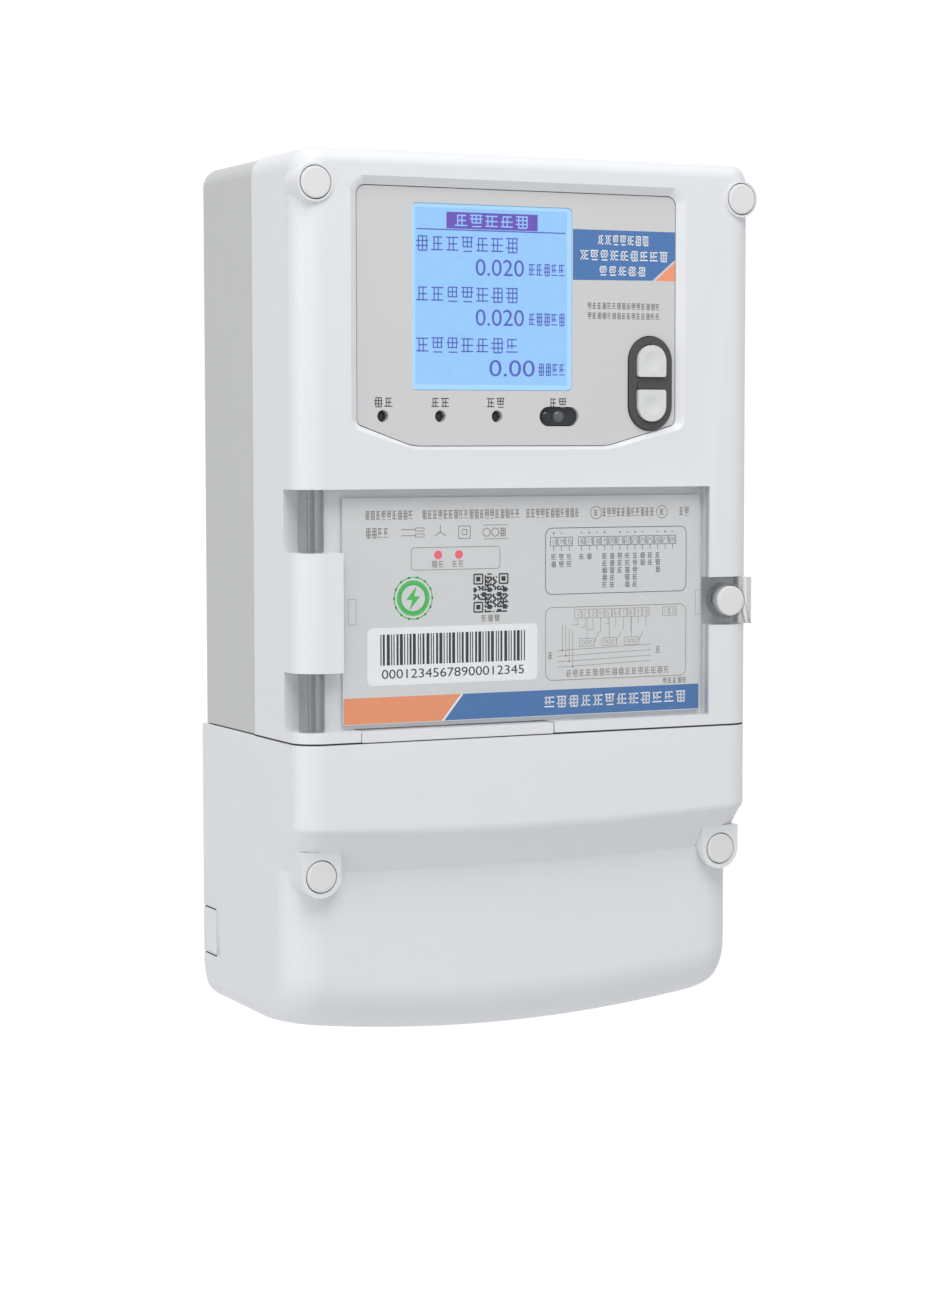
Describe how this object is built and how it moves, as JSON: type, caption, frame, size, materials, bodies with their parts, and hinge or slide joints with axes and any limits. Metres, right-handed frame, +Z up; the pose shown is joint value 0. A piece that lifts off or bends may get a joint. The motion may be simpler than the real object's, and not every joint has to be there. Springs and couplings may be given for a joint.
{
  "type": "smart electric meter",
  "caption": "Wall-mounted polyphase electricity meter with a backlit display, push buttons, a hinged clear door and a terminal cover over its wire terminals.",
  "frame": {"origin": "middle of the back face, at the height of the seam between the upper body and the terminal cover", "axes": "+X to the right seen from the front, +Y into the wall, +Z up; the front faces -Y"},
  "size_m": [0.1724, 0.0913, 0.2944],
  "materials": {
    "backlight_white": "diffuser",
    "block_black": "moulded phenolic",
    "board_green": "solder mask",
    "brass": "turned",
    "button_grey": "satin",
    "case_grey": "fine matt moulded",
    "clear": "clear polished",
    "copper": "tinned copper bar",
    "core_blue": "potted",
    "cover_white": "satin moulded",
    "dark_plastic": "dark satin",
    "display_blue": "backlit display glass",
    "fascia_grey": "fine speckled overlay",
    "gasket_rubber": "matt",
    "label_silver": "printed metallic label",
    "steel": "zinc plated"
  },
  "bodies": {
    "case": {"auxiliary_terminals": "block_black", "backup_capacitor": "core_blue", "board_link": "dark_plastic", "board_screw_1": "steel", "board_screw_2": "steel", "board_screw_3": "steel", "board_screw_4": "steel", "button_bezel": "dark_plastic", "clock_battery": "cover_white", "cover_gasket": "gasket_rubber", "current_bar_a": "copper", "current_bar_b": "copper", "current_bar_c": "copper", "current_transformer_a": "core_blue", "current_transformer_b": "core_blue", "current_transformer_c": "core_blue", "display_board": "board_green", "display_screw_1": "steel", "display_screw_2": "steel", "fascia": "fascia_grey", "front_cover": "cover_white", "hinge_pin_lower": "steel", "hinge_pin_upper": "steel", "ir_window": "dark_plastic", "lcd_backlight": "backlight_white", "lcd_frame": "dark_plastic", "lcd_glass": "display_blue", "lcd_window": "clear", "light_pipe_1": "clear", "light_pipe_2": "clear", "light_pipe_3": "clear", "main_board": "board_green", "name_plate": "label_silver", "rear_case": "case_grey", "sill_strip": "cover_white", "supply_transformer": "core_blue", "switch_down": "dark_plastic", "switch_up": "dark_plastic", "terminal_block": "block_black", "terminal_contact_1": "brass", "terminal_contact_10": "brass", "terminal_contact_2": "brass", "terminal_contact_3": "brass", "terminal_contact_4": "brass", "terminal_contact_5": "brass", "terminal_contact_6": "brass", "terminal_contact_7": "brass", "terminal_contact_8": "brass", "terminal_contact_9": "brass"},
    "door": {"clear_door": "clear"},
    "door_screw": {"door_seal_screw": "cover_white"},
    "terminal_cover": {"terminal_cover": "cover_white"},
    "terminal_screw_left": {"terminal_seal_screw_left": "cover_white"},
    "terminal_screw_right": {"terminal_seal_screw_right": "cover_white"},
    "cover_screw_left": {"cover_seal_screw_left": "cover_white"},
    "cover_screw_right": {"cover_seal_screw_right": "cover_white"},
    "button_up": {"button_up": "button_grey"},
    "button_down": {"button_down": "button_grey"},
    "hanger": {"hanger_plate": "steel"}
  },
  "joints": [
    {"name": "door_hinge", "type": "hinge", "parent": "case", "child": "door", "pos_m": [-0.079, -0.0852, 0.04335], "axis": [0, 0, -1], "range_deg": [0, 110]},
    {"name": "door_screw_turn", "type": "hinge", "parent": "door", "child": "door_screw", "pos_m": [0.0753, -0.0903, 0.0431], "axis": [0, -1, 0], "continuous": true},
    {"name": "terminal_cover_slide", "type": "slide", "parent": "case", "child": "terminal_cover", "axis": [0, -1, 0], "range_m": [0, 0.08]},
    {"name": "terminal_screw_left_turn", "type": "hinge", "parent": "terminal_cover", "child": "terminal_screw_left", "pos_m": [-0.0755, -0.0843, -0.04385], "axis": [0, -1, 0], "continuous": true},
    {"name": "terminal_screw_right_turn", "type": "hinge", "parent": "terminal_cover", "child": "terminal_screw_right", "pos_m": [0.0755, -0.0843, -0.04385], "axis": [0, -1, 0], "continuous": true},
    {"name": "cover_screw_left_turn", "type": "hinge", "parent": "case", "child": "cover_screw_left", "pos_m": [-0.079, -0.0906, 0.1808], "axis": [0, -1, 0], "continuous": true},
    {"name": "cover_screw_right_turn", "type": "hinge", "parent": "case", "child": "cover_screw_right", "pos_m": [0.079, -0.0906, 0.1808], "axis": [0, -1, 0], "continuous": true},
    {"name": "button_up_press", "type": "slide", "parent": "case", "child": "button_up", "axis": [0, 1, 0], "range_m": [0, 0.0012], "stiffness_N_per_m": 400, "springref_m": -0.0005},
    {"name": "button_down_press", "type": "slide", "parent": "case", "child": "button_down", "axis": [0, 1, 0], "range_m": [0, 0.0012], "stiffness_N_per_m": 400, "springref_m": -0.0005},
    {"name": "hanger_slide", "type": "slide", "parent": "case", "child": "hanger", "axis": [0, 0, 1], "range_m": [0, 0.015]}
  ]
}
